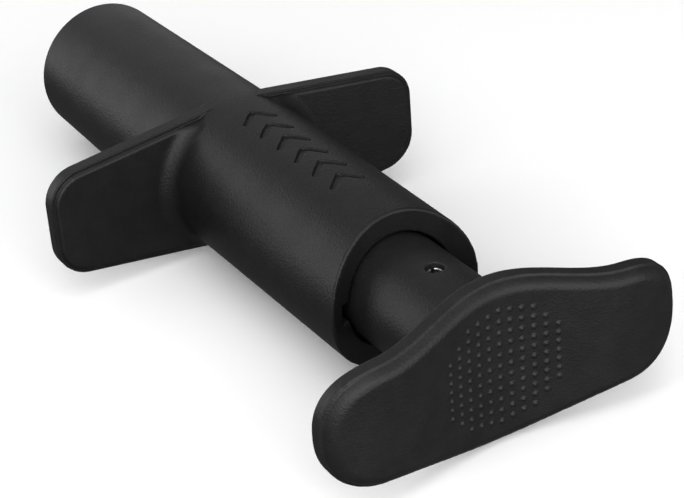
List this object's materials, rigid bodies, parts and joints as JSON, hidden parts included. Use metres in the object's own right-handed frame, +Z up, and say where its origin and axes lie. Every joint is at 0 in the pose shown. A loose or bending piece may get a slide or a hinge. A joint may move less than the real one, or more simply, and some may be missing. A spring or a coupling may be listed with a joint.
{
  "type": "string winder",
  "caption": "Hand-held push-drive string winder: a barrel with two finger wings, a sprung plunger with a bowed thumb rest, and a turning peg socket.",
  "frame": {"origin": "centre of the open end of the peg socket, on the barrel axis", "axes": "+Y along the barrel from the thumb rest to the socket, X along the finger wings, +Z up as it lies"},
  "size_m": [0.0788, 0.1517, 0.0308],
  "materials": {
    "shell_plastic": "fine-grained moulded black plastic",
    "grip_plastic": "fine-grained moulded black plastic with a soft feel",
    "acetal": "natural acetal, turned",
    "black_acetal": "black acetal, turned",
    "carrier_plastic": "glass-filled nylon",
    "liner_rubber": "soft moulded rubber",
    "steel": "turned bright steel",
    "spring_steel": "drawn spring wire",
    "brass": "turned brass",
    "bronze": "sintered bronze"
  },
  "bodies": {
    "housing": {"barrel": "shell_plastic", "mouth_liner": "black_acetal", "spring_seat": "steel", "bearing_carrier": "carrier_plastic", "front_bush": "bronze", "bearing_outer_race": "steel", "thrust_washer": "acetal", "socket_bush": "acetal", "nose_ring": "shell_plastic", "return_spring": "spring_steel"},
    "plunger": {"thumb_rest": "grip_plastic", "plunger_tube": "grip_plastic", "handle_pin": "steel", "glide_ring": "black_acetal", "drive_nut": "brass", "follower_pins": "steel", "nut_clip": "spring_steel"},
    "spindle": {"helix_rod": "steel", "rod_pin": "steel", "spindle_shaft": "steel", "bearing_inner_race": "steel", "bearing_balls": "steel", "shaft_clip": "spring_steel", "clutch_hub": "steel"},
    "socket": {"peg_socket": "grip_plastic", "socket_liner": "liner_rubber", "clutch_race": "steel", "clutch_rollers": "steel"}
  },
  "joints": [
    {"name": "plunger_slide", "type": "slide", "parent": "housing", "child": "plunger", "axis": [0, 1, 0], "range_m": [0, 0.024], "stiffness_N_per_m": 350, "springref_m": -0.012, "deforming": ["return_spring"]},
    {"name": "spindle_spin", "type": "hinge", "parent": "housing", "child": "spindle", "pos_m": [0, -0.035, 0], "axis": [0, 1, 0], "range_deg": [-346, 0]},
    {"name": "socket_spin", "type": "hinge", "parent": "housing", "child": "socket", "pos_m": [0, -0.012, 0], "axis": [0, 1, 0], "range_deg": [-346, 0]}
  ],
  "couplings": [
    {"joint": "spindle_spin", "follows": "plunger_slide", "rad_per_m": -251.33},
    {"joint": "socket_spin", "follows": "plunger_slide", "rad_per_m": -251.33}
  ]
}
